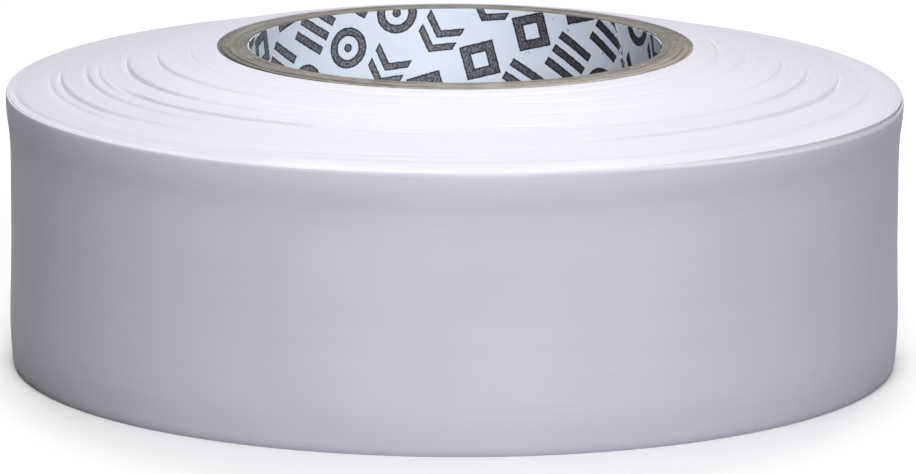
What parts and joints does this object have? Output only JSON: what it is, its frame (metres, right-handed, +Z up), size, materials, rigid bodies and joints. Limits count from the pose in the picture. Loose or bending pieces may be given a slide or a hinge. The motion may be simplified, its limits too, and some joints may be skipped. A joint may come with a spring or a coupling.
{
  "type": "electrical tape roll",
  "caption": "Roll of white vinyl electrical tape on a layered paper core, its wound face slid into a low cone, with a free end that peels off the wall.",
  "frame": {"origin": "on the roll's axis, in the flat foot that it rests on", "axes": "+Z up along the roll's axis, out of the face that stands proud in a cone; the free end leaves the wall on the +X, +Y side"},
  "size_m": [0.083, 0.083, 0.0298],
  "materials": {
    "liner_paper": "satin coated paper",
    "chipboard": "raw cut edge",
    "kraft_paper": "raw cut edge",
    "wound_tape": "satin edges of wound film",
    "tape_film": "satin calendered film",
    "adhesive": "tacky clear coat"
  },
  "bodies": {
    "roll": {"core_liner": "liner_paper", "core_ply_1": "chipboard", "core_ply_2": "chipboard", "core_ply_3": "chipboard", "core_ply_4": "chipboard", "core_wrap": "kraft_paper", "tape_band_1": "wound_tape", "tape_band_2": "wound_tape", "tape_band_3": "wound_tape", "tape_band_4": "wound_tape", "tape_band_5": "wound_tape", "tape_band_6": "wound_tape", "tape_band_7": "wound_tape", "tape_band_8": "wound_tape", "outer_turn": "tape_film"},
    "tail_1": {"tail_film_1": "tape_film", "tail_adhesive_1": "adhesive"},
    "tail_2": {"tail_film_2": "tape_film", "tail_adhesive_2": "adhesive"},
    "tail_3": {"tail_film_3": "tape_film", "tail_adhesive_3": "adhesive"},
    "tail_4": {"tail_film_4": "tape_film", "tail_adhesive_4": "adhesive"},
    "tail_5": {"tail_film_5": "tape_film", "tail_adhesive_5": "adhesive"},
    "tail_6": {"tail_film_6": "tape_film", "tail_adhesive_6": "adhesive"},
    "tail_7": {"tail_film_7": "tape_film", "tail_adhesive_7": "adhesive"},
    "tail_8": {"tail_film_8": "tape_film", "tail_adhesive_8": "adhesive"},
    "tail_9": {"tail_film_9": "tape_film", "tail_adhesive_9": "adhesive"},
    "tail_10": {"tail_film_10": "tape_film", "tail_adhesive_10": "adhesive"}
  },
  "joints": [
    {"name": "peel_1", "type": "hinge", "parent": "roll", "child": "tail_1", "pos_m": [0.03904, 0.01421, 0.0129], "axis": [0, 0, -1], "range_deg": [0, 18]},
    {"name": "peel_2", "type": "hinge", "parent": "tail_1", "child": "tail_2", "pos_m": [0.03651, 0.01982, 0.0129], "axis": [0, 0, -1], "range_deg": [0, 18]},
    {"name": "peel_3", "type": "hinge", "parent": "tail_2", "child": "tail_3", "pos_m": [0.03318, 0.025, 0.0129], "axis": [0, 0, -1], "range_deg": [0, 18]},
    {"name": "peel_4", "type": "hinge", "parent": "tail_3", "child": "tail_4", "pos_m": [0.02912, 0.02963, 0.0129], "axis": [0, 0, -1], "range_deg": [0, 18]},
    {"name": "peel_5", "type": "hinge", "parent": "tail_4", "child": "tail_5", "pos_m": [0.02442, 0.03361, 0.0129], "axis": [0, 0, -1], "range_deg": [0, 18]},
    {"name": "peel_6", "type": "hinge", "parent": "tail_5", "child": "tail_6", "pos_m": [0.01918, 0.03685, 0.0129], "axis": [0, 0, -1], "range_deg": [0, 18]},
    {"name": "peel_7", "type": "hinge", "parent": "tail_6", "child": "tail_7", "pos_m": [0.01352, 0.03928, 0.0129], "axis": [0, 0, -1], "range_deg": [0, 18]},
    {"name": "peel_8", "type": "hinge", "parent": "tail_7", "child": "tail_8", "pos_m": [0.00757, 0.04084, 0.0129], "axis": [0, 0, -1], "range_deg": [0, 18]},
    {"name": "peel_9", "type": "hinge", "parent": "tail_8", "child": "tail_9", "pos_m": [0.00145, 0.04152, 0.0129], "axis": [0, 0, -1], "range_deg": [0, 18]},
    {"name": "peel_10", "type": "hinge", "parent": "tail_9", "child": "tail_10", "pos_m": [-0.0047, 0.04127, 0.0129], "axis": [0, 0, -1], "range_deg": [0, 18]}
  ],
  "couplings": [
    {"joint": "peel_2", "follows": "peel_1", "ratio": 1},
    {"joint": "peel_3", "follows": "peel_1", "ratio": 1},
    {"joint": "peel_4", "follows": "peel_1", "ratio": 1},
    {"joint": "peel_5", "follows": "peel_1", "ratio": 1},
    {"joint": "peel_6", "follows": "peel_1", "ratio": 1},
    {"joint": "peel_7", "follows": "peel_1", "ratio": 1},
    {"joint": "peel_8", "follows": "peel_1", "ratio": 1},
    {"joint": "peel_9", "follows": "peel_1", "ratio": 1},
    {"joint": "peel_10", "follows": "peel_1", "ratio": 1}
  ]
}
